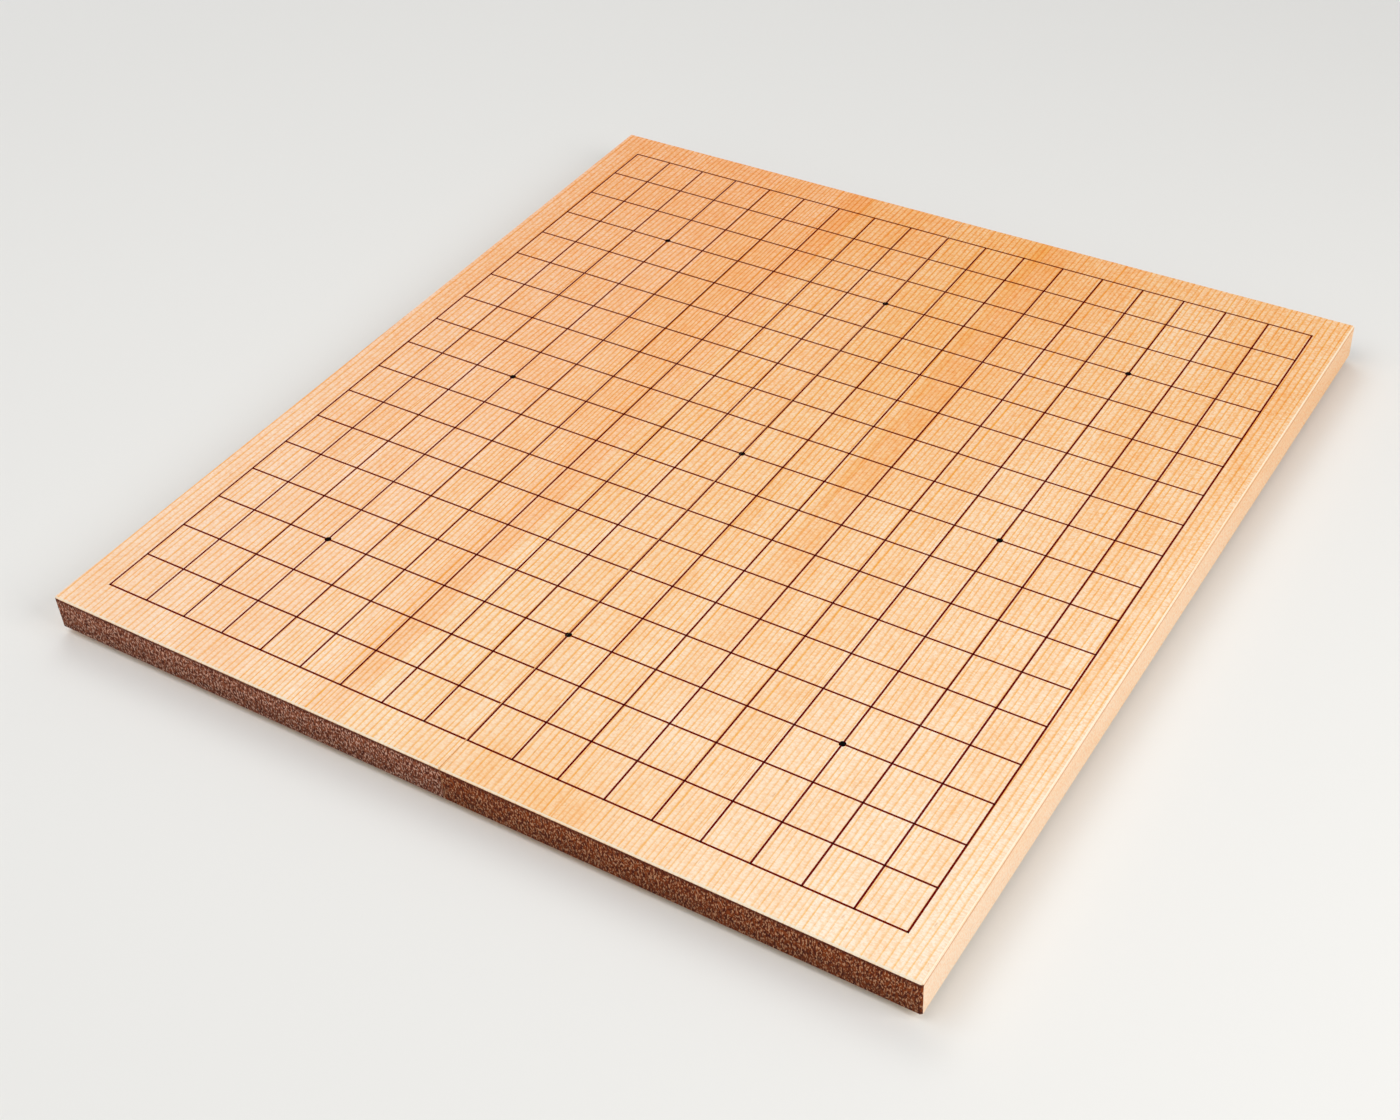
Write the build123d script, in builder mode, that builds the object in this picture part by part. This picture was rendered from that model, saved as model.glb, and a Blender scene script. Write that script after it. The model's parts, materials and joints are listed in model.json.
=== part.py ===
from build123d import *
import os

# A folding weiqi board, open and flat, in millimetres. +X runs to the right across the fold, +Y
# along the seam to the rear, +Z up. The origin is on the table under the middle of the seam.
# The right half folds down and under the left half on two hinges let into the underside.

# The grid, ruled in lacquer on the playing surface
lines_each_way = 19
cell_across = 22.0
cell_along = 23.7
line_width = 0.85
lacquer_height = 0.1
star_diameter = 3.1
star_inset_cells = 3

# The wood
board_thickness = 18.0
side_margin = 16.0
end_margin = 18.2
seam_gap = 0.2
edge_bevel = 0.7
seam_bevel = 0.2
staves_per_half = 4

# The hinges
hinge_length = 50.0
hinge_end_distance = 75.0
leaf_width = 16.0
leaf_thickness = 1.2
leaf_corner_radius = 1.0
knuckles_per_hinge = 5
knuckle_end_gap = 0.4
knuckle_side_gap = 0.3
pin_radius = 1.0
pin_clearance = 0.05
pin_head_radius = 1.7
pin_head_thickness = 0.6
pin_end_play = 0.1
axis_drop = 0.5
mortise_clearance = 0.2
groove_clearance = 0.4

# The screws
screws_per_leaf = 3
screw_spacing = 17.0
screw_row_distance = 9.4
screw_length = 10.0
screw_radius = 1.1
screw_head_radius = 2.2
screw_tip_length = 2.5
screw_hole_clearance = 0.1
screw_slot_width = 0.6
screw_slot_depth = 0.5

# The feet
foot_diameter = 12.0
foot_rim_radius = 1.0
foot_inset = 22.0
table_clearance = 0.5

# Heights above the table. The rolled knuckles set how tall the feet have to be.
knuckle_radius = pin_radius + pin_clearance + leaf_thickness
foot_height = axis_drop + knuckle_radius + table_clearance
underside = foot_height
axis_height = underside - axis_drop
playing_surface = underside + board_thickness

# Plan sizes of one half, measured from its seam face
columns_per_half = (lines_each_way - 1) // 2
half_width = columns_per_half * cell_across + side_margin
seam_face = seam_gap / 2
flat_edge = seam_face + seam_bevel
outer_face = seam_face + half_width
grid_length = (lines_each_way - 1) * cell_along
board_length = grid_length + 2 * end_margin
stave_width = half_width / staves_per_half

# The grid was ruled with the halves pushed together, the middle line wholly on the right half
middle_line = flat_edge + line_width / 2
right_columns = [middle_line + cell_across * n for n in range(columns_per_half + 1)]
left_columns = [middle_line - seam_gap - cell_across * n for n in range(1, columns_per_half + 1)]
rows = [cell_along * n - grid_length / 2 for n in range(lines_each_way)]
star_rows = [rows[star_inset_cells], rows[lines_each_way // 2], rows[-1 - star_inset_cells]]

hinge_rows = {"front": hinge_end_distance - board_length / 2, "rear": board_length / 2 - hinge_end_distance}
knuckle_pitch = hinge_length / knuckles_per_hinge
left, right = -1, 1
side_names = {left: "left", right: "right"}


def screw_places(side, hinge_y):
    middle = (screws_per_leaf - 1) / 2
    return [
        (side * screw_row_distance, hinge_y + screw_spacing * (n - middle))
        for n in range(screws_per_leaf)
    ]


def star_places(side):
    """The half's own star columns and the middle column, which the seam splits."""
    own = right_columns[-1 - star_inset_cells] if side == right else left_columns[-1 - star_inset_cells]
    return [(x, y) for x in (own, middle_line) for y in star_rows]


def leaf_screws(side, hinge_y):
    """Countersunk wood screws, heads flush with the underside, slots along the board."""
    with BuildPart() as screws:
        for x, y in screw_places(side, hinge_y):
            with BuildSketch(Plane(origin=(x, y, underside), x_dir=(1, 0, 0), z_dir=(0, -1, 0))):
                with BuildLine():
                    Polyline(
                        (0, 0),
                        (screw_head_radius, 0),
                        (screw_radius, screw_head_radius - screw_radius),
                        (screw_radius, screw_length - screw_tip_length),
                        (0, screw_length),
                        close=True,
                    )
                make_face()
            revolve(axis=Axis((x, y, underside), (0, 0, 1)))
        with BuildSketch(Plane.XY.offset(underside)):
            with Locations(*screw_places(side, hinge_y)):
                Rectangle(screw_slot_width, 2 * screw_head_radius)
        extrude(amount=screw_slot_depth, mode=Mode.SUBTRACT)
    return screws


def half_panel(side, screws):
    """One half as a single planed panel, edges broken, cut for its hinge leaves and screws."""
    with BuildPart() as panel:
        with BuildSketch(Plane.XY.offset(underside)):
            with Locations((side * (seam_face + half_width / 2), 0)):
                Rectangle(half_width, board_length)
        extrude(amount=board_thickness)
        seam_side = 0 if side == right else -1
        seam_edges = panel.faces().sort_by(Axis.X)[seam_side].edges()
        chamfer(panel.edges() - seam_edges, edge_bevel)
        seam_edges = panel.faces().filter_by(Axis.X).sort_by(Axis.X)[seam_side].edges()
        chamfer(seam_edges, seam_bevel)
        mortise_width = leaf_width + mortise_clearance
        for hinge_y in hinge_rows.values():
            with BuildSketch(Plane.XY.offset(underside)):
                with Locations((side * mortise_width / 2, hinge_y)):
                    Rectangle(mortise_width, hinge_length + 2 * mortise_clearance)
            extrude(amount=leaf_thickness, mode=Mode.SUBTRACT)
            groove_length = hinge_length + 2 * (pin_end_play + pin_head_thickness + groove_clearance)
            with Locations((0, hinge_y, axis_height)):
                Cylinder(
                    knuckle_radius + groove_clearance,
                    groove_length,
                    rotation=(90, 0, 0),
                    mode=Mode.SUBTRACT,
                )
        for group in screws:
            add(group.part, mode=Mode.SUBTRACT)
    return panel


def stave(side, panel, number):
    """The glued strip of a panel that lies this many strips in from the outer edge."""
    middle = outer_face - (number - 0.5) * stave_width
    with BuildPart() as strip:
        add(panel.part)
        with BuildSketch():
            with Locations((side * middle, 0)):
                Rectangle(stave_width, board_length)
        extrude(amount=playing_surface, mode=Mode.INTERSECT)
    return strip


def grid_lines(side):
    """The half's ruled lines as one thin sheet of lacquer, open where the star points lie."""
    columns = right_columns if side == right else left_columns
    outer_end = abs(columns[-1]) + line_width / 2
    with BuildPart() as lines:
        with BuildSketch(Plane.XY.offset(playing_surface)):
            with Locations(*[(x, 0) for x in columns]):
                Rectangle(line_width, grid_length + line_width)
            with Locations(*[(side * (flat_edge + outer_end) / 2, y) for y in rows]):
                Rectangle(outer_end - flat_edge, line_width)
            with Locations(*star_places(side)):
                Circle(star_diameter / 2, mode=Mode.SUBTRACT)
        extrude(amount=lacquer_height)
    return lines


def star_points(side):
    """Dots on the star rows. Those on the middle column stop at the seam's bevel."""
    with BuildPart() as dots:
        with BuildSketch(Plane.XY.offset(playing_surface)):
            with Locations(*star_places(side)):
                Circle(star_diameter / 2)
            with Locations((side * (flat_edge + half_width / 2), 0)):
                Rectangle(half_width, board_length, mode=Mode.INTERSECT)
        extrude(amount=lacquer_height)
    return dots


def hinge_leaf(side, hinge_y):
    """A plate let into the underside, rolled round the pin at every second knuckle."""
    own_knuckles = range(0 if side == left else 1, knuckles_per_hinge, 2)
    other_knuckles = range(1 if side == left else 0, knuckles_per_hinge, 2)
    first = hinge_y - hinge_length / 2 + knuckle_pitch / 2
    with BuildPart() as leaf:
        with BuildSketch(Plane.XY.offset(underside)):
            with Locations((side * leaf_width / 2, hinge_y)):
                Rectangle(leaf_width, hinge_length)
        extrude(amount=leaf_thickness)
        outer_corners = leaf.edges().filter_by(Axis.Z).group_by(Axis.X)[-1 if side == right else 0]
        fillet(outer_corners, leaf_corner_radius)
        with Locations(*[(0, first + knuckle_pitch * n, axis_height) for n in other_knuckles]):
            Cylinder(
                knuckle_radius + knuckle_side_gap,
                knuckle_pitch,
                rotation=(90, 0, 0),
                mode=Mode.SUBTRACT,
            )
        with Locations(*[(0, first + knuckle_pitch * n, axis_height) for n in own_knuckles]):
            Cylinder(knuckle_radius, knuckle_pitch - knuckle_end_gap, rotation=(90, 0, 0))
        with Locations((0, hinge_y, axis_height)):
            Cylinder(
                pin_radius + pin_clearance,
                hinge_length,
                rotation=(90, 0, 0),
                mode=Mode.SUBTRACT,
            )
        with Locations(*[Plane((x, y, underside), z_dir=(0, 0, -1)) for x, y in screw_places(side, hinge_y)]):
            CounterSinkHole(
                screw_radius + screw_hole_clearance,
                screw_head_radius,
                depth=leaf_thickness,
                counter_sink_angle=90,
            )
    return leaf


def hinge_pin(hinge_y):
    """A headed pin that carries both leaves. It stays with the left half."""
    shaft_length = hinge_length + 2 * pin_end_play
    with BuildPart() as pin:
        with Locations((0, hinge_y, axis_height)):
            Cylinder(pin_radius, shaft_length, rotation=(90, 0, 0))
        head_place = (shaft_length + pin_head_thickness) / 2
        with Locations((0, hinge_y - head_place, axis_height), (0, hinge_y + head_place, axis_height)):
            Cylinder(pin_head_radius, pin_head_thickness, rotation=(90, 0, 0))
    return pin


def foot(side, end):
    """A round rubber foot with a rounded lower rim, stuck under an outer corner."""
    with BuildPart() as pad:
        with BuildSketch():
            with Locations((side * (outer_face - foot_inset), end * (board_length / 2 - foot_inset))):
                Circle(foot_diameter / 2)
        extrude(amount=foot_height)
        fillet(pad.faces().sort_by(Axis.Z)[0].edges(), foot_rim_radius)
    return pad


def keep(piece, name):
    piece.part.label = name
    export_step(piece.part, f"parts/{name}.step")


os.makedirs("parts", exist_ok=True)

for side, half in side_names.items():
    screws = {place: leaf_screws(side, hinge_y) for place, hinge_y in hinge_rows.items()}
    panel = half_panel(side, screws.values())
    for number in range(1, staves_per_half + 1):
        keep(stave(side, panel, number), f"{half}_stave_{number}")
    keep(grid_lines(side), f"{half}_grid_lines")
    keep(star_points(side), f"{half}_star_points")
    for place, hinge_y in hinge_rows.items():
        keep(hinge_leaf(side, hinge_y), f"{place}_hinge_{half}_leaf")
        keep(screws[place], f"{place}_hinge_{half}_screws")
    for place, end in (("front", -1), ("rear", 1)):
        keep(foot(side, end), f"{place}_{half}_foot")

for place, hinge_y in hinge_rows.items():
    keep(hinge_pin(hinge_y), f"{place}_hinge_pin")
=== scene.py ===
import json
import math
import bpy
import numpy as np
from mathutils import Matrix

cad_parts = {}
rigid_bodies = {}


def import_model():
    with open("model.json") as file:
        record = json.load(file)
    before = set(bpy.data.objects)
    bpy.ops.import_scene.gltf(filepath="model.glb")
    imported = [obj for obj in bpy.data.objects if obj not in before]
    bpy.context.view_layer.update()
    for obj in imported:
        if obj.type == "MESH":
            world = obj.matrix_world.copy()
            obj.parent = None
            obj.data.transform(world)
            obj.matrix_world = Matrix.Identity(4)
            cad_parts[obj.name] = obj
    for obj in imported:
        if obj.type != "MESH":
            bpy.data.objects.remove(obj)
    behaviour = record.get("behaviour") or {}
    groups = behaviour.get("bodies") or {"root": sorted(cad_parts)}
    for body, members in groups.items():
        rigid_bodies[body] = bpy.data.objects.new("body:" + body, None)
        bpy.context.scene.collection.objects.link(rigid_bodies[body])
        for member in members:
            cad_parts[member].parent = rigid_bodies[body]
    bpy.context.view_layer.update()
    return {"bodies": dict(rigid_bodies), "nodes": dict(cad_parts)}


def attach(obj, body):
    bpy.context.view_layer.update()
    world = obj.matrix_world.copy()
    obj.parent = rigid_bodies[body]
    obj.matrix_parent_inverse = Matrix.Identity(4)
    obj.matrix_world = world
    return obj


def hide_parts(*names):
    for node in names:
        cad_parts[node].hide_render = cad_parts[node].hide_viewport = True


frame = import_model()
nodes = frame["nodes"]
mm = 0.001

print("board loaded:", len(nodes), "nodes")

# the camera, fitted to the grid's crossings; lengths in mm, angles in degrees
cameraFit = {
    "lens": 52.52,
    "azimuth": 34.43,
    "elevation": 40.38,
    "roll": -3.84,
    "aimPoint": (23.9, -74.2, 21.25),
    "distance": 896.1,
    "sensorWidth": 36,
    "clip": (10, 50000),
}


# back vector from azimuth and elevation, right vector level, then both turned about the view by the roll
def placeCamera(fit):
    turn, rise, roll = (math.radians(fit[key]) for key in ("azimuth", "elevation", "roll"))
    back = np.array([math.sin(turn) * math.cos(rise), -math.cos(turn) * math.cos(rise), math.sin(rise)])
    level = np.array([math.cos(turn), math.sin(turn), 0.0])
    upright = np.cross(back, level)
    right = math.cos(roll) * level + math.sin(roll) * upright
    matrix = np.eye(4)
    matrix[:3, :3] = np.column_stack([right, np.cross(back, right), back])
    matrix[:3, 3] = (np.array(fit["aimPoint"]) + back * fit["distance"]) * mm
    lens = bpy.data.cameras.new("photoCamera")
    lens.lens = fit["lens"]
    lens.sensor_width = fit["sensorWidth"]
    lens.clip_start, lens.clip_end = (reach * mm for reach in fit["clip"])
    camera = bpy.data.objects.new("photoCamera", lens)
    bpy.context.scene.collection.objects.link(camera)
    camera.matrix_world = matrix.T.tolist()
    bpy.context.scene.camera = camera


placeCamera(cameraFit)


# an input takes either another node's socket or a plain value
def feed(tree, socket, value):
    if isinstance(value, bpy.types.NodeSocket):
        tree.links.new(value, socket)
    else:
        socket.default_value = value


def addNode(tree, kind, inputs=None, settings=None):
    node = tree.nodes.new("ShaderNode" + kind)
    for name, value in (settings or {}).items():
        setattr(node, name, value)
    for key, value in (inputs or {}).items():
        feed(tree, node.inputs[key], value)
    return node


def calc(tree, operation, *terms, clamp=False):
    settings = {"operation": operation, "use_clamp": clamp}
    return addNode(tree, "Math", dict(enumerate(terms)), settings).outputs[0]


# value times factor plus base
def scaleAdd(tree, value, factor, base):
    return calc(tree, "MULTIPLY_ADD", value, factor, base)


# smooth step from one value at low to another at high
def ease(tree, value, low, high, fromValue=0.0, toValue=1.0):
    spread = {"Value": value, "From Min": low, "From Max": high, "To Min": fromValue, "To Max": toValue}
    return addNode(tree, "MapRange", spread, {"interpolation_type": "SMOOTHSTEP"}).outputs["Result"]


# the same along a stretch given in mm as (low, high) or (low, high, value at low, value at high)
def easeMm(tree, value, span):
    low, high, *ends = span
    return ease(tree, value, low * mm, high * mm, *ends)


def distanceFrom(tree, value, middle=0.0):
    return calc(tree, "ABSOLUTE", calc(tree, "SUBTRACT", value, middle))


def stretch(tree, vector, scale, shift=(0, 0, 0)):
    return addNode(tree, "Mapping", {"Vector": vector, "Scale": scale, "Location": shift}).outputs[0]


# noise on a place scaled by so much a metre each way
def noise(tree, vector, scale, detail=2.0, roughness=0.5, shift=(0, 0, 0)):
    inputs = {"Vector": stretch(tree, vector, scale, shift), "Scale": 1.0, "Detail": detail}
    return addNode(tree, "TexNoise", {**inputs, "Roughness": roughness}).outputs["Fac"]


# noise along one line, for what changes from ring to ring
def lineNoise(tree, place):
    inputs = {"W": place, "Scale": 1.0, "Detail": 1.0}
    return addNode(tree, "TexNoise", inputs, {"noise_dimensions": "1D"}).outputs["Fac"]


def blend(tree, factor, first, second, mode="MIX"):
    node = addNode(tree, "Mix", None, {"data_type": "RGBA", "blend_type": mode, "clamp_factor": True})
    feed(tree, node.inputs[0], factor)
    feed(tree, node.inputs[6], first)
    feed(tree, node.inputs[7], second)
    return node.outputs[2]


# roughness that moves about its middle with a noise from 0 to 1
def spreadAbout(tree, level, middle, look):
    return scaleAdd(tree, level, look["roughSpread"], middle - look["roughSpread"] / 2)


def bumped(tree, shader, height, distance, strength):
    bump = addNode(tree, "Bump", {"Height": height, "Distance": distance, "Strength": strength})
    feed(tree, shader.inputs["Normal"], bump.outputs[0])


# an sRGB colour, 0 to 255, as the linear value that a socket holds
def tint(red, green, blue):
    share = np.array([red, green, blue]) / 255
    linear = np.where(share <= 0.04045, share / 12.92, ((share + 0.055) / 1.055) ** 2.4)
    return (*linear.tolist(), 1.0)


def newGroup(name, inputs, outputs):
    group = bpy.data.node_groups.new(name, "ShaderNodeTree")
    for label, (kind, value) in inputs.items():
        socket = group.interface.new_socket(label, in_out="INPUT", socket_type="NodeSocket" + kind)
        if value is not None:
            socket.default_value = value
    for label in outputs:
        group.interface.new_socket(label, in_out="OUTPUT", socket_type="NodeSocketFloat")
    return group, group.nodes.new("NodeGroupInput").outputs, group.nodes.new("NodeGroupOutput").inputs


def placeGroup(tree, group, inputs):
    node = tree.nodes.new("ShaderNodeGroup")
    node.node_tree = group
    for key, value in inputs.items():
        feed(tree, node.inputs[key], value)
    return node.outputs


def newMaterial(name):
    material = bpy.data.materials.new(name)
    material.use_nodes = True
    tree = material.node_tree
    return material, tree, tree.nodes["Principled BSDF"]


# Growth rings of a quarter-sawn strip. Across the grain the distance is x + slant y + tilt z plus a slow and
# a fast wander. Divided by the ring spacing, its fraction rises slowly to the latewood line and drops at
# once, and its whole part picks how strong each ring is. Noise scales are per metre.
ringShape = {
    "slow": {"scale": (9, 4.5, 6), "detail": 2.0, "roughness": 0.45},
    "slowReach": 5.0,
    "fast": {"scale": (110, 55, 60), "detail": 2.0, "roughness": 0.5},
    "fastReach": 0.4,
    "driftRate": 0.37,
    "driftReach": 0.9,
    "riseFrom": (0.44, 0.59),
    "darkest": 0.88,
    "evenness": 0.65,
    "gaps": {"scale": (420, 110, 420), "detail": 3.0, "roughness": 0.65},
    "gapStrength": (0.3, 0.66, 0.8, 1.1),
    "band": {"scale": (75, 6, 1)},
    "bandEdge": (0.3, 0.7),
}
rings, ringIn, ringOut = newGroup(
    "growthRings",
    {
        "Position": ("Vector", None),
        "Spacing": ("Float", 0.003),
        "Seed": ("Float", 0.0),
        "Slant": ("Float", 0.0),
        "Tilt": ("Float", 0.1),
        "Wander": ("Float", 0.001),
    },
    ("Latewood", "Band"),
)
apart = addNode(rings, "SeparateXYZ", {0: ringIn["Position"]}).outputs
seedShift = addNode(rings, "CombineXYZ", {"X": ringIn["Seed"], "Y": ringIn["Seed"]}).outputs[0]
seeded = addNode(rings, "VectorMath", {0: ringIn["Position"], 1: seedShift}, {"operation": "ADD"}).outputs[0]
across = scaleAdd(rings, apart["Y"], ringIn["Slant"], apart["X"])
across = scaleAdd(rings, apart["Z"], ringIn["Tilt"], across)
for kind in ("slow", "fast"):
    wave = calc(rings, "SUBTRACT", noise(rings, seeded, **ringShape[kind]), 0.5)
    reach = calc(rings, "MULTIPLY", ringIn["Wander"], ringShape[kind + "Reach"])
    across = scaleAdd(rings, wave, reach, across)
ringCount = calc(rings, "DIVIDE", across, ringIn["Spacing"])
drift = lineNoise(rings, scaleAdd(rings, ringCount, ringShape["driftRate"], ringIn["Seed"]))
ringCount = scaleAdd(rings, drift, ringShape["driftReach"], ringCount)
ringPart = calc(rings, "FRACT", ringCount)
ringId = calc(rings, "ADD", calc(rings, "FLOOR", ringCount), ringIn["Seed"])
chance = addNode(rings, "TexWhiteNoise", {"W": ringId}, {"noise_dimensions": "1D"}).outputs["Value"]
earliest, latest = ringShape["riseFrom"]
rise = ease(rings, ringPart, scaleAdd(rings, chance, latest - earliest, earliest), ringShape["darkest"])
fall = ease(rings, ringPart, ringShape["darkest"], 1.0, 1.0, 0.0)
strength = scaleAdd(rings, chance, 1.0 - ringShape["evenness"], ringShape["evenness"])
late = calc(rings, "MULTIPLY", calc(rings, "MULTIPLY", rise, fall), strength)
gaps = noise(rings, seeded, **ringShape["gaps"])
late = calc(rings, "MULTIPLY", late, ease(rings, gaps, *ringShape["gapStrength"]))
bandPlace = {"X": across, "Y": apart["Y"], "Z": ringIn["Seed"]}
bandPlace = addNode(rings, "CombineXYZ", bandPlace).outputs[0]
band = noise(rings, bandPlace, **ringShape["band"])
feed(rings, ringOut["Latewood"], late)
feed(rings, ringOut["Band"], ease(rings, band, *ringShape["bandEdge"]))

# Fibres: noise drawn out along the grain at two widths, small ray flecks, short brown dashes where resin
# ducts surface, and clouds of tone, slow ones and a finer mottle.
fibreNoises = {
    "fine": {"scale": (4200, 110, 4200), "detail": 2.0, "roughness": 0.55},
    "broad": {"scale": (1300, 40, 1300), "detail": 3.0, "roughness": 0.6},
    "duct": {"scale": (1500, 230, 1500), "detail": 0.0, "shift": (3.1, 1.7, 0.4)},
    "ray": {"scale": (720, 1350, 720), "detail": 2.0, "roughness": 0.6, "shift": (1.9, 0.6, 2.2)},
    "cloud": {"scale": (26, 8, 26), "detail": 3.0, "roughness": 0.55, "shift": (0.3, 5.2, 1.1)},
    "mottle": {"scale": (64, 44, 64), "detail": 3.0, "roughness": 0.6},
}
fibreShares = {"fine": 0.45, "broad": 0.55}
fibreEdges = {"duct": (0.77, 0.84), "ray": (0.4, 0.62)}
fibres, fibreIn, fibreOut = newGroup(
    "fibres", {"Position": ("Vector", None)}, ("Fibre", "Duct", "Ray", "Cloud", "Mottle")
)
threads = {kind: noise(fibres, fibreIn["Position"], **look) for kind, look in fibreNoises.items()}
broad = calc(fibres, "MULTIPLY", threads["broad"], fibreShares["broad"])
feed(fibres, fibreOut["Fibre"], scaleAdd(fibres, threads["fine"], fibreShares["fine"], broad))
feed(fibres, fibreOut["Duct"], ease(fibres, threads["duct"], *fibreEdges["duct"]))
feed(fibres, fibreOut["Ray"], ease(fibres, threads["ray"], *fibreEdges["ray"]))
feed(fibres, fibreOut["Cloud"], threads["cloud"])
feed(fibres, fibreOut["Mottle"], threads["mottle"])

# Cut faces, from the object's own normal: End where the surface faces along the grain, Side where it faces
# across it, Bevel where an edge is broken. Speckle and Fleck are the end grain's dark mottle and pale cells.
# Each stretch of the normal's parts runs from 0 to 1 unless it says otherwise.
cutShape = {
    "endwise": (0.55, 0.68),
    "upright": (0.3, 0.5, 1.0, 0.0),
    "sideways": (0.8, 0.95),
    "sloped": (0.5, 0.65),
    "level": (0.85, 0.95),
    "speckle": {"scale": (880, 60, 360), "detail": 3.0, "roughness": 0.7},
    "speckleEdge": (0.43, 0.56),
    "fleck": {"scale": (1400, 60, 640), "detail": 1.5, "roughness": 0.55, "shift": (7.7, 0, 3.3)},
    "fleckEdge": (0.52, 0.63),
}
cuts, cutIn, cutOut = newGroup(
    "cutFaces",
    {"Position": ("Vector", None), "Normal": ("Vector", None)},
    ("End", "Side", "Bevel", "Speckle", "Fleck"),
)
facing = addNode(cuts, "VectorMath", {0: cutIn["Normal"]}, {"operation": "ABSOLUTE"}).outputs[0]
facing = addNode(cuts, "SeparateXYZ", {0: facing}).outputs
endwise = ease(cuts, facing["Y"], *cutShape["endwise"])
upright = ease(cuts, facing["Z"], *cutShape["upright"])
sloped = ease(cuts, facing["Z"], *cutShape["sloped"])
level = ease(cuts, facing["Z"], *cutShape["level"])
speckle = noise(cuts, cutIn["Position"], **cutShape["speckle"])
cells = noise(cuts, cutIn["Position"], **cutShape["fleck"])
feed(cuts, cutOut["End"], calc(cuts, "MULTIPLY", endwise, upright))
feed(cuts, cutOut["Side"], ease(cuts, facing["X"], *cutShape["sideways"]))
feed(cuts, cutOut["Bevel"], calc(cuts, "SUBTRACT", sloped, level))
feed(cuts, cutOut["Speckle"], ease(cuts, speckle, *cutShape["speckleEdge"]))
feed(cuts, cutOut["Fleck"], ease(cuts, cells, *cutShape["fleckEdge"]))

# Slow smudges and fine scratches for metal, rubber and lacquer; Smear and Lay are their scales per metre.
wearNoises = {"smudge": {"detail": 4.0, "roughness": 0.6}, "scratch": {"detail": 3.0, "roughness": 0.65}}
wear, wearIn, wearOut = newGroup(
    "wear",
    {
        "Position": ("Vector", None),
        "Smear": ("Vector", (120.0, 120.0, 120.0)),
        "Lay": ("Vector", (1.0, 1.0, 1.0)),
    },
    ("Smudge", "Scratch"),
)
smudge = noise(wear, wearIn["Position"], wearIn["Smear"], **wearNoises["smudge"])
scratch = noise(wear, wearIn["Position"], wearIn["Lay"], **wearNoises["scratch"])
feed(wear, wearOut["Smudge"], smudge)
feed(wear, wearOut["Scratch"], scratch)

# Warm patches of heartwood on the playing surface, in mm: where the middle lies, how far each reaches across
# and along, and how much of that reach is soft. Each is one soft step across times one along.
patches = {
    "rightStreak": {"middle": (58.0, 120.0), "reach": (12.0, 200.0), "soft": (5.0, 80.0), "strength": 0.17},
    "rightTail": {"middle": (62.0, -95.0), "reach": (16.0, 75.0), "soft": (9.0, 40.0), "strength": 0.14},
    "rightThread": {"middle": (25.0, 10.0), "reach": (6.0, 90.0), "soft": (3.0, 55.0), "strength": 0.11},
    "rightEdge": {"middle": (202.0, 40.0), "reach": (6.0, 200.0), "soft": (4.0, 90.0), "strength": 0.14},
    "leftStreak": {"middle": (-62.0, -120.0), "reach": (15.0, 170.0), "soft": (9.0, 110.0), "strength": 0.12},
    "leftFar": {"middle": (-60.0, 200.0), "reach": (11.0, 95.0), "soft": (7.0, 60.0), "strength": 0.1},
    "frontRight": {"middle": (46.0, -255.0), "reach": (58.0, 92.0), "soft": (34.0, 70.0), "strength": 0.22},
}
patchSway = {"scale": (22, 22, 22), "detail": 3.0, "roughness": 0.6, "shift": (4.1, 2.6, 0.0)}
patchSwayReach = 12.0
warmth, warmIn, warmOut = newGroup("warmPatches", {"Position": ("Vector", None)}, ("Warm",))
sway = calc(warmth, "SUBTRACT", noise(warmth, warmIn["Position"], **patchSway), 0.5)
warmAt = addNode(warmth, "SeparateXYZ", {0: warmIn["Position"]}).outputs
warmX = scaleAdd(warmth, sway, patchSwayReach * mm, warmAt["X"])
total = 0.0
for patch in patches.values():
    share = patch["strength"]
    spans = zip((warmX, warmAt["Y"]), patch["middle"], patch["reach"], patch["soft"])
    for place, middle, reach, soft in spans:
        off = distanceFrom(warmth, place, middle * mm)
        share = calc(warmth, "MULTIPLY", share, easeMm(warmth, off, (reach - soft, reach, 1.0, 0.0)))
    total = calc(warmth, "ADD", share, total)
feed(warmth, warmOut["Warm"], total)
print("shared effects built")

# The wood, one finish to a stave. Zones are heights above the table, or distances from the seam, in mm.
woodTones = {
    "early": tint(254, 237, 216),
    "heart": tint(243, 174, 59),
    "deep": (1.0, 0.8, 0.8, 1.0),
    "late": (0.92, 0.57, 0.06, 1.0),
    "fleck": (0.95, 0.64, 0.32, 1.0),
    "duct": tint(190, 122, 70),
    "ductShare": 0.3,
    "side": tint(255, 224, 194),
    "sideShare": 0.48,
    "sideLatewood": -0.85,
    # the bevel tone over its zone is a painted highlight on the top bevels
    "bevel": tint(255, 242, 219),
    "bevelHighlightZone": (20.6, 21.0, 0.2, 0.85),
    "underBevel": tint(222, 160, 112),
    "underBevelZone": (18.9, 20.2, 0.0, 0.95),
    "outerFrom": (100.0, 120.0),
    "warmToDeep": 0.8,
    "wander": 0.9,
    "fibreShade": (0.3, 0.7, 0.97, 1.02),
    "roughness": 0.46,
    "fibreRough": 0.16,
    "specular": 0.12,
    "relief": 0.03,
    "reliefStrength": 0.8,
    "latewoodHeight": 0.5,
    "fibreHeight": 0.6,
}
# End grain of each half. Its tones are partly painted shade: darker than the bare end grain's own brown, as
# on a face turned away from the light.
endTones = {
    "left": {"dark": tint(74, 25, 8), "middle": tint(137, 73, 46), "fleck": tint(208, 164, 142)},
    "right": {"dark": tint(72, 18, 0), "middle": tint(127, 55, 10), "fleck": tint(188, 137, 102)},
    "latewoodShare": 0.3,
    # painted light and shade: the end grain darkens towards the bottom and brightens towards the top
    "paintedLightZone": (3.0, 18.0, 0.8, 1.27),
    "rim": tint(84, 22, 1),
    "rimZone": (18.2, 20.0, 0.0, 0.8),
    "rougher": 0.24,
    "relief": 0.12,
}

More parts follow.
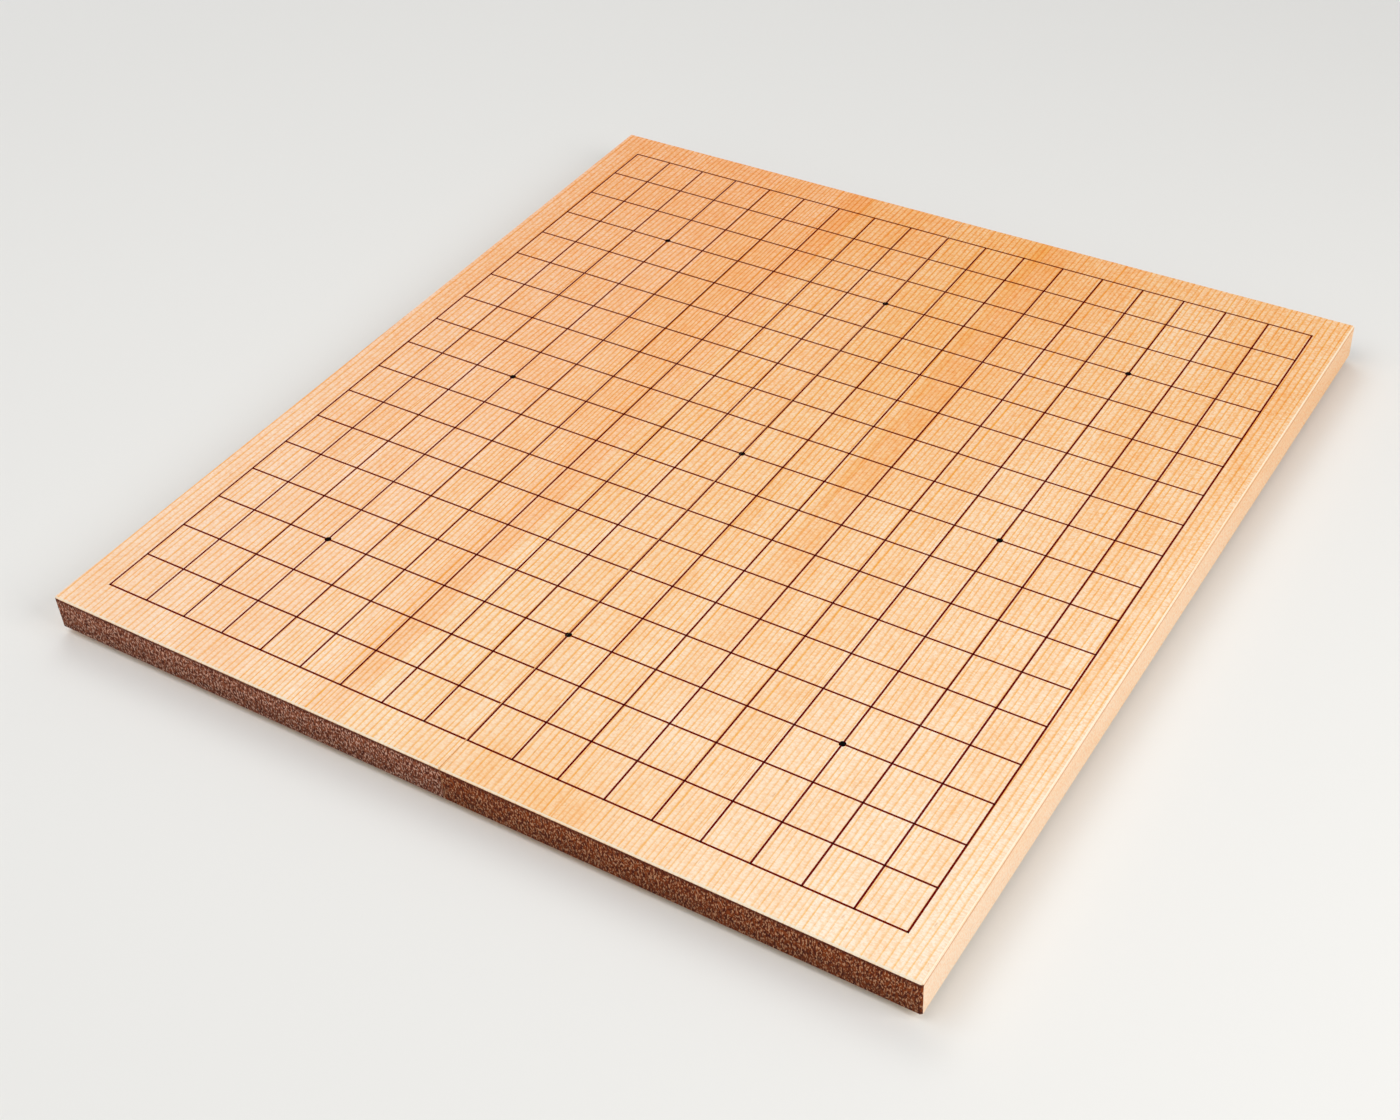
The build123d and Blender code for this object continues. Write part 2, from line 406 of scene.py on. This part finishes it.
# spacing in mm, slant and tilt as slopes; contrast is the latewood's, ripe how far the strip leans to
# heartwood, deep how far to rose, warm how much of the patches it takes
staves = {
    "left_stave_1": {
        "spacing": 3.2, "seed": 3.1, "slant": 0.006, "tilt": 0.16,
        "contrast": 1.04, "ripe": 0.295, "deep": 0.46, "warm": 1.0,
    },
    "left_stave_2": {
        "spacing": 3.0, "seed": 11.7, "slant": -0.008, "tilt": -0.1,
        "contrast": 1.13, "ripe": 0.32, "deep": 0.46, "warm": 1.0,
    },
    "left_stave_3": {
        "spacing": 2.5, "seed": 23.9, "slant": 0.004, "tilt": 0.2,
        "contrast": 1.27, "ripe": 0.39, "deep": 0.34, "warm": 1.0,
    },
    "left_stave_4": {
        "spacing": 3.0, "seed": 37.3, "slant": -0.012, "tilt": -0.14,
        "contrast": 1.16, "ripe": 0.4, "deep": 0.1, "warm": 0.0,
    },
    "right_stave_4": {
        "spacing": 3.0, "seed": 41.9, "slant": 0.01, "tilt": 0.12,
        "contrast": 1.06, "ripe": 0.42, "deep": -0.1, "warm": 1.0,
    },
    "right_stave_3": {
        "spacing": 2.6, "seed": 53.3, "slant": -0.005, "tilt": -0.18,
        "contrast": 1.0, "ripe": 0.37, "deep": 0.01, "warm": 1.0,
    },
    "right_stave_2": {
        "spacing": 2.8, "seed": 67.1, "slant": 0.009, "tilt": 0.1,
        "contrast": 0.92, "ripe": 0.275, "deep": -0.12, "warm": 1.0,
    },
    "right_stave_1": {
        "spacing": 3.0, "seed": 71.5, "slant": -0.011, "tilt": -0.08,
        "contrast": 0.88, "ripe": 0.255, "deep": -0.15, "warm": 1.0,
    },
}
# painted light and sheen: how much ripe, deep, contrast and the flecks grow per metre to the rear, leaving
# the front paler and the rear richer
paintedLightRearward = {"ripe": 0.88, "deep": 0.7, "contrast": 0.8, "fleck": 0.9}
# how far the slower noises move ripe, and how strong the flecks are at the board's middle
uneven = {"band": 0.1, "cloud": 0.34, "mottle": 0.38, "fleck": 0.64}
# The seam's bevels. The middle star points, six rows apart, were painted over them too.
seam = {
    "edge": tint(240, 186, 126),
    "edgeZone": (0.5, 0.8, 1.0, 0.0),
    "ink": tint(8, 4, 3),
    "inkPitch": 6 * 23.7,
    "inkAlong": (1.22, 1.37, 1.0, 0.0),
    "inkAcross": (0.3, 0.34, 1.0, 0.0),
    "inkHeight": (20.8, 20.95),
}


# the colour of the bevels, toned where the wood meets and black within the middle star points
def seamColour(tree, at, bevel, colour):
    across = distanceFrom(tree, at["X"])
    atSeam = easeMm(tree, across, seam["edgeZone"])
    colour = blend(tree, calc(tree, "MULTIPLY", bevel, atSeam), colour, seam["edge"])
    along = calc(tree, "PINGPONG", at["Y"], seam["inkPitch"] / 2 * mm)
    inked = easeMm(tree, along, seam["inkAlong"])
    inked = calc(tree, "MULTIPLY", inked, easeMm(tree, across, seam["inkAcross"]))
    inked = calc(tree, "MULTIPLY", inked, easeMm(tree, at["Z"], seam["inkHeight"]))
    return blend(tree, inked, colour, seam["ink"])


def greyOf(tree, value):
    return addNode(tree, "CombineXYZ", {axis: value for axis in "XYZ"}).outputs[0]


# planed faces: ripeness picks the tone, with painted light and sheen that leave the front paler, then come
# latewood, flecks, ducts and fibres, then a darker band under the outer top edges and a painted highlight on
# the top bevels
def facedWood(tree, at, ring, thread, face, warm, cut):
    tones = woodTones
    # painted light and sheen: ripeness, rose, latewood contrast and flecks rise to the rear, so the front
    # reads paler
    ripe = scaleAdd(tree, at["Y"], paintedLightRearward["ripe"], cut["ripe"])
    for kind, level in (("band", ring["Band"]), ("cloud", thread["Cloud"]), ("mottle", thread["Mottle"])):
        ripe = scaleAdd(tree, calc(tree, "SUBTRACT", level, 0.5), uneven[kind], ripe)
    ripe = calc(tree, "MULTIPLY_ADD", warm, cut["warm"], ripe, clamp=True)
    deep = scaleAdd(tree, at["Y"], paintedLightRearward["deep"], cut["deep"])
    deep = calc(tree, "MULTIPLY_ADD", warm, tones["warmToDeep"], deep, clamp=True)
    colour = blend(tree, ripe, tones["early"], tones["heart"])
    colour = blend(tree, deep, colour, tones["deep"], "MULTIPLY")
    colour = blend(tree, calc(tree, "MULTIPLY", face["Side"], tones["sideShare"]), colour, tones["side"])
    late = scaleAdd(tree, at["Y"], paintedLightRearward["contrast"], cut["contrast"])
    late = calc(tree, "MULTIPLY", late, ring["Latewood"])
    late = calc(tree, "MULTIPLY", late, scaleAdd(tree, face["Side"], tones["sideLatewood"], 1.0))
    colour = blend(tree, late, colour, tones["late"], "MULTIPLY")
    fleck = scaleAdd(tree, at["Y"], paintedLightRearward["fleck"], uneven["fleck"])
    colour = blend(tree, calc(tree, "MULTIPLY", thread["Ray"], fleck), colour, tones["fleck"], "MULTIPLY")
    colour = blend(tree, calc(tree, "MULTIPLY", thread["Duct"], tones["ductShare"]), colour, tones["duct"])
    shade = ease(tree, thread["Fibre"], *tones["fibreShade"])
    colour = blend(tree, 1.0, colour, greyOf(tree, shade), "MULTIPLY")
    # a darker band on the outer side faces just under the top edges
    underBevelBand = calc(tree, "MULTIPLY", face["Side"], easeMm(tree, at["Z"], tones["underBevelZone"]))
    outer = easeMm(tree, distanceFrom(tree, at["X"]), tones["outerFrom"])
    colour = blend(tree, calc(tree, "MULTIPLY", underBevelBand, outer), colour, tones["underBevel"])
    # painted highlight: the top bevels blend to a pale tone near the playing surface
    wearAndHighlight = calc(tree, "MULTIPLY", face["Bevel"], easeMm(tree, at["Z"], tones["bevelHighlightZone"]))
    return blend(tree, wearAndHighlight, colour, tones["bevel"])


# end grain: mottle, rings and pale cells, with painted light and shade that leave it darker to the bottom and
# brighter to the top, and a dark band under the bevel
def endWood(tree, at, ring, face, ends):
    colour = blend(tree, face["Speckle"], ends["dark"], ends["middle"])
    late = calc(tree, "MULTIPLY", ring["Latewood"], endTones["latewoodShare"])
    colour = blend(tree, late, colour, ends["dark"])
    colour = blend(tree, face["Fleck"], colour, ends["fleck"])
    # painted light and shade, darker to the bottom and brighter to the top
    paintedLightFactor = easeMm(tree, at["Z"], endTones["paintedLightZone"])
    colour = blend(tree, 1.0, colour, greyOf(tree, paintedLightFactor), "MULTIPLY")
    return blend(tree, easeMm(tree, at["Z"], endTones["rimZone"]), colour, endTones["rim"])


def staveWood(name, cut):
    tones = woodTones
    material, tree, shader = newMaterial(name + "_softwood")
    place = addNode(tree, "TexCoord").outputs
    at = addNode(tree, "SeparateXYZ", {0: place["Object"]}).outputs
    ring = placeGroup(tree, rings, {
        "Position": place["Object"], "Spacing": cut["spacing"] * mm, "Seed": cut["seed"],
        "Slant": cut["slant"], "Tilt": cut["tilt"], "Wander": tones["wander"] * mm,
    })
    thread = placeGroup(tree, fibres, {"Position": place["Object"]})
    face = placeGroup(tree, cuts, {"Position": place["Object"], "Normal": place["Normal"]})
    warm = placeGroup(tree, warmth, {"Position": place["Object"]})["Warm"]

    colour = facedWood(tree, at, ring, thread, face, warm, cut)
    # the fourth stave of each half is the one at the seam
    if name.endswith("4"):
        colour = seamColour(tree, at, face["Bevel"], colour)
    endColour = endWood(tree, at, ring, face, endTones[name.split("_")[0]])
    feed(tree, shader.inputs["Base Color"], blend(tree, face["End"], colour, endColour))

    rough = scaleAdd(tree, thread["Fibre"], tones["fibreRough"], tones["roughness"] - tones["fibreRough"] / 2)
    feed(tree, shader.inputs["Roughness"], scaleAdd(tree, face["End"], endTones["rougher"], rough))
    shader.inputs["Specular IOR Level"].default_value = tones["specular"]

    fibreHeight = calc(tree, "MULTIPLY", thread["Fibre"], tones["fibreHeight"])
    sideHeight = scaleAdd(tree, ring["Latewood"], tones["latewoodHeight"], fibreHeight)
    endHeight = calc(tree, "MULTIPLY", face["Fleck"], face["End"])
    endHeight = calc(tree, "MULTIPLY", endHeight, endTones["relief"] / tones["relief"])
    height = scaleAdd(tree, sideHeight, calc(tree, "SUBTRACT", 1.0, face["End"]), endHeight)
    bumped(tree, shader, height, tones["relief"] * mm, tones["reliefStrength"])
    return material


for name, cut in staves.items():
    nodes[name].data.materials.clear()
    nodes[name].data.materials.append(staveWood(name, cut))
print("wood done:", len(staves), "staves")

# the ruled lines and star points, lengths in mm; a line's profile is given as shares of its half width
ruling = {
    "rows": 19,
    "columns": 9,
    "pitchAcross": 22.0,
    "pitchAlong": 23.7,
    "middleLine": 0.725,
    "seamGap": 0.2,
    "flatEdge": 0.3,
    "surface": 21.25,
    "width": 0.95,
    "middleWidth": 0.85,
    "height": 0.085,
    "profile": (-1.0, -0.8, -0.45, 0.0, 0.45, 0.8, 1.0),
    "gapStations": 3,
    "taper": 0.4,
    "taperShares": (0.5, 0.2, 0.0),
    "lastGapStations": 4,
    "fadeToCrossing": 0.5,
}
stars = {
    "radius": 1.55,
    "height": 0.1,
    "shares": (0.3, 0.6, 0.8, 0.92, 0.98, 1.0),
    "spokes": 48,
    "sliverMiddle": -0.5,
    "roundness": 8,
    "cellsOut": 6,
}
lacquer = {
    "lines": {
        "colour": tint(106, 12, 3), "layered": tint(26, 5, 3), "wearAndHighlight": tint(128, 26, 8), "roughness": 0.8,
    },
    "points": {"colour": tint(5, 3, 3), "layered": tint(5, 3, 3), "wearAndHighlight": tint(12, 6, 5), "roughness": 0.8},
    "specular": 0.03,
    "smear": (900.0, 900.0, 900.0),
    "lay": (2600.0, 2600.0, 2600.0),
    "wornShare": (0.4, 0.75, 0.0, 0.4),
    "roughSpread": 0.2,
    "relief": 0.01,
    "reliefStrength": 0.6,
    "sharpFrom": 50,
}


def lacquerFinish(name, look):
    material, tree, shader = newMaterial(name)
    place = addNode(tree, "TexCoord").outputs["Object"]
    wearAndHighlight = placeGroup(tree, wear, {"Position": place, "Smear": lacquer["smear"], "Lay": lacquer["lay"]})
    layered = addNode(tree, "Attribute", None, {"attribute_name": "layered"}).outputs["Fac"]
    base = blend(tree, ease(tree, wearAndHighlight["Smudge"], *lacquer["wornShare"]), look["colour"], look["wearAndHighlight"])
    feed(tree, shader.inputs["Base Color"], blend(tree, layered, base, look["layered"]))
    feed(tree, shader.inputs["Roughness"], spreadAbout(tree, wearAndHighlight["Scratch"], look["roughness"], lacquer))
    shader.inputs["Specular IOR Level"].default_value = lacquer["specular"]
    bumped(tree, shader, wearAndHighlight["Scratch"], lacquer["relief"] * mm, lacquer["reliefStrength"])
    return material


# points come in mm as a numpy array, faces as a list of index lists
def meshPiece(name, points, faces, node, body, material):
    mesh = bpy.data.meshes.new(name)
    mesh.from_pydata((points * mm).tolist(), [], faces)
    mesh.materials.append(material)
    mesh.polygons.foreach_set("use_smooth", np.ones(len(mesh.polygons), bool))
    mesh.set_sharp_from_angle(angle=math.radians(lacquer["sharpFrom"]))
    piece = bpy.data.objects.new(name, mesh)
    bpy.context.scene.collection.objects.link(piece)
    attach(piece, body)
    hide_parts(node)
    return piece


# stations across parallel lines of the given widths: the profile's over each line and a few evenly in each
# gap; u runs from -1 to 1 over a line and is 2 in a gap
def lineStations(centres, widths):
    profile = np.array(ruling["profile"])
    over = centres[:, None] + profile * widths[:, None] / 2
    gaps = np.linspace(over[:-1, -1], over[1:, 0], ruling["gapStations"] + 2, axis=1)[:, 1:-1]
    place = np.append(np.hstack([over[:-1], gaps]).ravel(), over[-1])
    share = np.hstack([np.tile(profile, (len(gaps), 1)), np.full(gaps.shape, 2.0)]).ravel()
    return place, np.append(share, profile)


# quarter round from 1 to 0 beyond lowest and highest, over each one's reach
def endTaper(place, lowest, highest, lowReach, highReach):
    past = np.clip((place - highest) / highReach, 0, 1)
    before = np.clip((lowest - place) / lowReach, 0, 1)
    return np.sqrt(1 - past**2) * np.sqrt(1 - before**2)


# One half's grid as a single closed sheet on a grid of stations (x, y). Its height is H times the larger of
# the column's arch sqrt(1 - u^2) and the row's arch sqrt(1 - v^2), each tapered at its ends; the underside
# is flat and shares the points of height 0. Where both arches stand the lacquer is layered.
def ruledSheet(side):
    half = ruling["width"] / 2
    first = ruling["middleLine"]
    if side > 0:
        columns = first + ruling["pitchAcross"] * np.arange(0, ruling["columns"] + 1)
        widths = np.full(len(columns), ruling["width"])
        widths[0] = ruling["middleWidth"]
        columns[0] = ruling["flatEdge"] + ruling["middleWidth"] / 2
        x, u = lineStations(columns, widths)
        rowEnds = endTaper(x, columns[0], columns[-1], ruling["middleWidth"] / 2, half)
    else:
        first = first - ruling["seamGap"]
        columns = first - ruling["pitchAcross"] * np.arange(ruling["columns"], 0, -1)
        x, u = lineStations(columns, np.full(len(columns), ruling["width"]))
        edge, taper = -ruling["flatEdge"], ruling["taper"]
        toTaper = np.linspace(x[-1], edge - taper, ruling["lastGapStations"] + 1)[1:]
        rest = np.append(toTaper, edge - taper * np.array(ruling["taperShares"]))
        x, u = np.append(x, rest), np.append(u, np.full(len(rest), 2.0))
        rowEnds = endTaper(x, columns[0], edge - taper, half, taper)
    rows = ruling["pitchAlong"] * (np.arange(ruling["rows"]) - (ruling["rows"] - 1) / 2)
    y, v = lineStations(rows, np.full(len(rows), ruling["width"]))
    columnEnds = endTaper(y, rows[0], rows[-1], half, half)
    archAcross = np.sqrt(np.clip(1 - u**2, 0, 1))[:, None] * columnEnds
    archAlong = np.sqrt(np.clip(1 - v**2, 0, 1)) * rowEnds[:, None]
    height = ruling["height"] * np.maximum(archAcross, archAlong)
    onColumn = (u[:-1] < 1) & (u[1:] <= 1)
    onRow = (v[:-1] < 1) & (v[1:] <= 1)
    drawn = onColumn[:, None] | onRow
    used = np.zeros(height.shape, bool)
    for i, j in ((0, 0), (1, 0), (0, 1), (1, 1)):
        used[i:i + drawn.shape[0], j:j + drawn.shape[1]] |= drawn
    raised = used & (height > 1e-9)
    top = np.cumsum(used).reshape(used.shape) - 1
    bottom = np.where(raised, np.cumsum(raised).reshape(used.shape) - 1 + used.sum(), top)
    acrossAll, alongAll = np.meshgrid(x, y, indexing="ij")
    points = np.concatenate([
        np.column_stack([acrossAll[used], alongAll[used], ruling["surface"] + height[used]]),
        np.column_stack([acrossAll[raised], alongAll[raised], np.full(raised.sum(), ruling["surface"])]),
    ])
    corners = ((0, 0), (1, 0), (1, 1), (0, 1))
    wide, deep = drawn.shape
    upper = np.stack([top[i:i + wide, j:j + deep][drawn] for i, j in corners], axis=1)
    lower = np.stack([bottom[i:i + wide, j:j + deep][drawn] for i, j in corners[::-1]], axis=1)
    doubled = np.sqrt(archAcross * archAlong)
    layered = np.concatenate([doubled[used], doubled[raised]]) ** ruling["fadeToCrossing"]
    return points, np.concatenate([upper, lower]).tolist(), layered


# Spots of lacquer. From a middle inside the spot, the ray at angle t reaches the disc's rim or the half's
# flat edge, whichever is nearer, and at share s of that reach the height is H (1 - s^8). The left half's
# sliver of a middle spot is fanned from a middle of its own.
def starSpots(side):
    radius, spokes, edge = stars["radius"], stars["spokes"], side * ruling["flatEdge"]
    gap = ruling["seamGap"] if side < 0 else 0
    own = ruling["middleLine"] + side * ruling["pitchAcross"] * stars["cellsOut"] - gap
    middleAt = ruling["middleLine"] if side > 0 else stars["sliverMiddle"]
    discAt = np.repeat([own, ruling["middleLine"]], 3)
    fromX = np.repeat([own, middleAt], 3)
    fromY = np.tile(ruling["pitchAlong"] * stars["cellsOut"] * np.array([-1.0, 0.0, 1.0]), 2)
    turn = np.linspace(0, 2 * math.pi, spokes, endpoint=False)
    cosine, sine = np.cos(turn), np.sin(turn)
    off = (fromX - discAt)[:, None]
    reach = -off * cosine + np.sqrt(radius**2 - (off * sine) ** 2)
    toEdge = np.where(-side * cosine > 1e-6, (edge - fromX)[:, None] / np.where(cosine == 0, 1, cosine), 1e9)
    reach = np.minimum(reach, toEdge)
    share = np.array(stars["shares"])
    x = fromX[:, None, None] + share[:, None] * (reach * cosine)[:, None, :]
    y = fromY[:, None, None] + share[:, None] * (reach * sine)[:, None, :]
    crownShare = 1 - share[:, None] ** stars["roundness"]
    z = np.broadcast_to(ruling["surface"] + stars["height"] * crownShare, x.shape)
    spots, rimCount = len(fromX), len(share)
    wall = np.stack([x, y, z], axis=-1).reshape(-1, 3)
    crown = np.column_stack([fromX, fromY, np.full(spots, ruling["surface"] + stars["height"])])
    index = np.arange(spots * rimCount * spokes).reshape(spots, rimCount, spokes)
    ahead = np.roll(index, -1, axis=2)
    quads = np.stack([index[:, :-1], index[:, 1:], ahead[:, 1:], ahead[:, :-1]], axis=-1).reshape(-1, 4)
    crownIndex = np.broadcast_to((len(wall) + np.arange(spots))[:, None], (spots, spokes))
    fans = np.stack([crownIndex, index[:, 0], ahead[:, 0]], axis=-1).reshape(-1, 3)
    under = index[:, -1, ::-1]
    return np.concatenate([wall, crown]), quads.tolist() + fans.tolist() + under.tolist()


lineFinish = lacquerFinish("gridLacquer", lacquer["lines"])
pointFinish = lacquerFinish("starLacquer", lacquer["points"])
for half, side in (("left", -1), ("right", 1)):
    points, faces, layered = ruledSheet(side)
    sheet = meshPiece(
        half + "RuledLines", points, faces, half + "_grid_lines", half + "_half", lineFinish
    )
    doubled = sheet.data.attributes.new("layered", "FLOAT", "POINT")
    doubled.data.foreach_set("value", layered.astype(np.float32))
    points, faces = starSpots(side)
    meshPiece(
        half + "StarPoints", points, faces, half + "_star_points", half + "_half", pointFinish
    )
    print("lacquer done:", half, len(sheet.data.polygons), "faces in the grid")

# hinges, screws and feet keep their own shapes
brass = {
    "leaf": {
        "colour": tint(212, 168, 92), "dull": tint(184, 140, 72), "roughness": 0.3,
        "lay": (300.0, 6000.0, 300.0),
    },
    "pin": {
        "colour": tint(206, 160, 84), "dull": tint(150, 108, 52), "roughness": 0.26,
        "lay": (6000.0, 400.0, 6000.0),
    },
    "screws": {
        "colour": tint(178, 134, 70), "dull": tint(132, 94, 48), "roughness": 0.34,
        "lay": (3000.0, 3000.0, 3000.0),
    },
}
brassWear = {
    "smear": (160.0, 160.0, 160.0),
    "tarnish": (0.42, 0.68),
    "tarnishRough": 0.16,
    "roughSpread": 0.2,
    "relief": 0.02,
    "reliefStrength": 0.5,
}
rubber = {
    "colour": tint(46, 43, 41),
    "dust": tint(92, 88, 84),
    "roughness": 0.78,
    "smear": (260.0, 260.0, 260.0),
    "lay": (5200.0, 5200.0, 5200.0),
    "dusty": (0.45, 0.75, 0.0, 0.45),
    "roughSpread": 0.16,
    "relief": 0.05,
    "reliefStrength": 0.7,
}


def brassFinish(name, look):
    material, tree, shader = newMaterial(name)
    place = addNode(tree, "TexCoord").outputs["Object"]
    wearAndHighlight = placeGroup(tree, wear, {"Position": place, "Smear": brassWear["smear"], "Lay": look["lay"]})
    tarnish = ease(tree, wearAndHighlight["Smudge"], *brassWear["tarnish"])
    feed(tree, shader.inputs["Base Color"], blend(tree, tarnish, look["colour"], look["dull"]))
    rough = spreadAbout(tree, wearAndHighlight["Scratch"], look["roughness"], brassWear)
    feed(tree, shader.inputs["Roughness"], scaleAdd(tree, tarnish, brassWear["tarnishRough"], rough))
    shader.inputs["Metallic"].default_value = 1.0
    bumped(tree, shader, wearAndHighlight["Scratch"], brassWear["relief"] * mm, brassWear["reliefStrength"])
    return material


def rubberFinish(look):
    material, tree, shader = newMaterial("footRubber")
    place = addNode(tree, "TexCoord").outputs["Object"]
    wearAndHighlight = placeGroup(tree, wear, {"Position": place, "Smear": look["smear"], "Lay": look["lay"]})
    dusty = ease(tree, wearAndHighlight["Smudge"], *look["dusty"])
    feed(tree, shader.inputs["Base Color"], blend(tree, dusty, look["colour"], look["dust"]))
    feed(tree, shader.inputs["Roughness"], spreadAbout(tree, wearAndHighlight["Scratch"], look["roughness"], look))
    bumped(tree, shader, wearAndHighlight["Scratch"], look["relief"] * mm, look["reliefStrength"])
    return material


finishes = {kind: brassFinish(kind + "Brass", look) for kind, look in brass.items()}
finishes["foot"] = rubberFinish(rubber)
for name, node in nodes.items():
    kind = name.split("_")[-1]
    if kind in finishes:
        node.data.materials.clear()
        node.data.materials.append(finishes[kind])
print("fittings done")

# floor, backdrop and lamps, with places and sizes in metres; a plate's height is where it lies at rest
stage = {
    "body": "right_half",
    "plates": {"openFloor": 0.0, "foldedFloor": 0.0214},
    "level": 0.998,
    "floor": tint(236, 236, 234),
    "roughness": 0.9,
    "specular": 0.1,
    "backdrop": tint(246, 246, 246),
    "ambient": 0.4,
    "radius": 8.0,
    "corners": 96,
    "fadeFrom": 0.55,
    "fadeTo": 1.7,
}
lamps = {
    "keyLamp": {"place": (1.15, -0.15, 0.8), "size": (0.7, 0.7), "watts": 8.1, "colour": (1.0, 0.98, 0.95)},
    "fillLamp": {"place": (-0.45, -0.55, 1.3), "size": (1.2, 1.0), "watts": 7.4, "colour": (1.0, 0.99, 0.98)},
    "backLamp": {"place": (-0.9, 1.0, 1.6), "size": (1.2, 0.8), "watts": 7.5, "colour": (1.0, 0.99, 0.98)},
}


# The board folds down past its own table, so the floor is two plates that ride with the right half: one
# under the open board, one over its playing surface, which lies underneath once folded. A plate shows only
# while its upper face points straight up.
def makeFloor(look):
    material, tree, shader = newMaterial("paleFloor")
    shader.inputs["Base Color"].default_value = look["floor"]
    shader.inputs["Roughness"].default_value = look["roughness"]
    shader.inputs["Specular IOR Level"].default_value = look["specular"]
    place = addNode(tree, "TexCoord").outputs["Object"]
    away = addNode(tree, "VectorMath", {0: place}, {"operation": "LENGTH"}).outputs["Value"]
    seen = addNode(tree, "LightPath").outputs["Is Camera Ray"]
    fade = calc(tree, "MULTIPLY", ease(tree, away, look["fadeFrom"], look["fadeTo"]), seen)
    glow = addNode(tree, "Emission", {"Color": look["backdrop"], "Strength": 1.0}).outputs[0]
    shown = addNode(tree, "MixShader", {0: fade, 1: shader.outputs[0], 2: glow}).outputs[0]
    side = addNode(tree, "NewGeometry").outputs
    upward = addNode(tree, "SeparateXYZ", {0: side["True Normal"]}).outputs["Z"]
    upward = calc(tree, "MULTIPLY", upward, scaleAdd(tree, side["Backfacing"], -2.0, 1.0))
    isLevel = calc(tree, "GREATER_THAN", upward, look["level"])
    clear = addNode(tree, "BsdfTransparent").outputs[0]
    mixed = addNode(tree, "MixShader", {0: isLevel, 1: clear, 2: shown}).outputs[0]
    feed(tree, tree.nodes["Material Output"].inputs["Surface"], mixed)
    turn = np.linspace(0, 2 * math.pi, look["corners"], endpoint=False)
    body = frame["bodies"][look["body"]]
    for name, height in look["plates"].items():
        flip = -1 if height else 1
        rim = np.column_stack([np.cos(turn), flip * np.sin(turn), np.zeros(len(turn))]) * look["radius"]
        rim[:, 2] = height
        mesh = bpy.data.meshes.new(name)
        mesh.from_pydata(rim.tolist(), [], [list(range(len(turn)))])
        mesh.materials.append(material)
        plate = bpy.data.objects.new(name, mesh)
        bpy.context.scene.collection.objects.link(plate)
        plate.parent = body
        plate.matrix_parent_inverse = body.matrix_world.inverted()


def makeWorld(look):
    world = bpy.data.worlds.new("studio")
    bpy.context.scene.world = world
    world.use_nodes = True
    tree = world.node_tree
    path = addNode(tree, "LightPath").outputs
    seen = calc(tree, "MAXIMUM", path["Is Camera Ray"], path["Is Glossy Ray"])
    seen = calc(tree, "MAXIMUM", seen, path["Is Transmission Ray"])
    level = look["ambient"]
    colour = blend(tree, seen, (level, level, level, 1.0), look["backdrop"])
    feed(tree, tree.nodes["Background"].inputs["Color"], colour)


# a lamp aimed at the origin, its right edge level
def makeLamp(name, lamp):
    light = bpy.data.lights.new(name, "AREA")
    light.shape = "RECTANGLE"
    light.size, light.size_y = lamp["size"]
    light.energy = lamp["watts"]
    light.color = lamp["colour"]
    place = np.array(lamp["place"])
    back = place / np.linalg.norm(place)
    right = np.cross([0, 0, 1], back)
    right = right / np.linalg.norm(right)
    matrix = np.eye(4)
    matrix[:3, :3] = np.column_stack([right, np.cross(back, right), back])
    matrix[:3, 3] = place
    holder = bpy.data.objects.new(name, light)
    bpy.context.scene.collection.objects.link(holder)
    holder.matrix_world = matrix.T.tolist()


makeFloor(stage)
makeWorld(stage)
for name, lamp in lamps.items():
    makeLamp(name, lamp)
bpy.context.scene.view_settings.view_transform = "Standard"
print("stage and lamps done")
